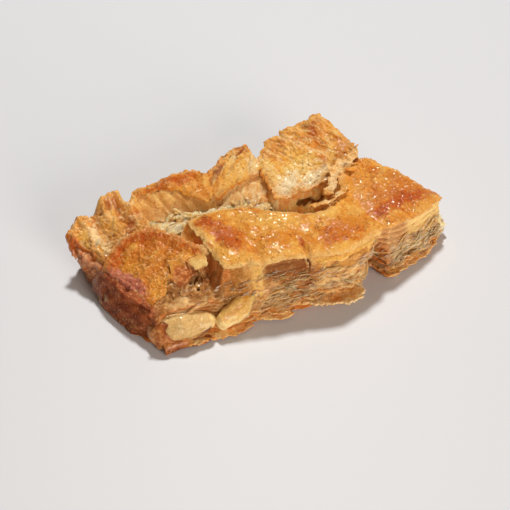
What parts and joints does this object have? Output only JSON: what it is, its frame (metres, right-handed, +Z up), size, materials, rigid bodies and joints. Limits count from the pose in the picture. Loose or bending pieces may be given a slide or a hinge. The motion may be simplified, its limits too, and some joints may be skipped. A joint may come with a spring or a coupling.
{
  "type": "borek",
  "caption": "Slab of baked flaky yufka pastry, chopped part-way into bite-size squares, with a torn lengthwise furrow and layered cut sides.",
  "frame": {"origin": "middle of the slab's length and depth, on its flat baked bottom", "axes": "+X along the slab from the tray-baked left end to the right end, -Y out of the long cut face that shows, +Z up out of the baked crust"},
  "size_m": [0.1784, 0.0992, 0.0352],
  "materials": {
    "crust": "baked golden-brown flaky dough, lightly oiled, satin"
  },
  "bodies": {
    "root": {"borek": "crust"}
  },
  "joints": []
}
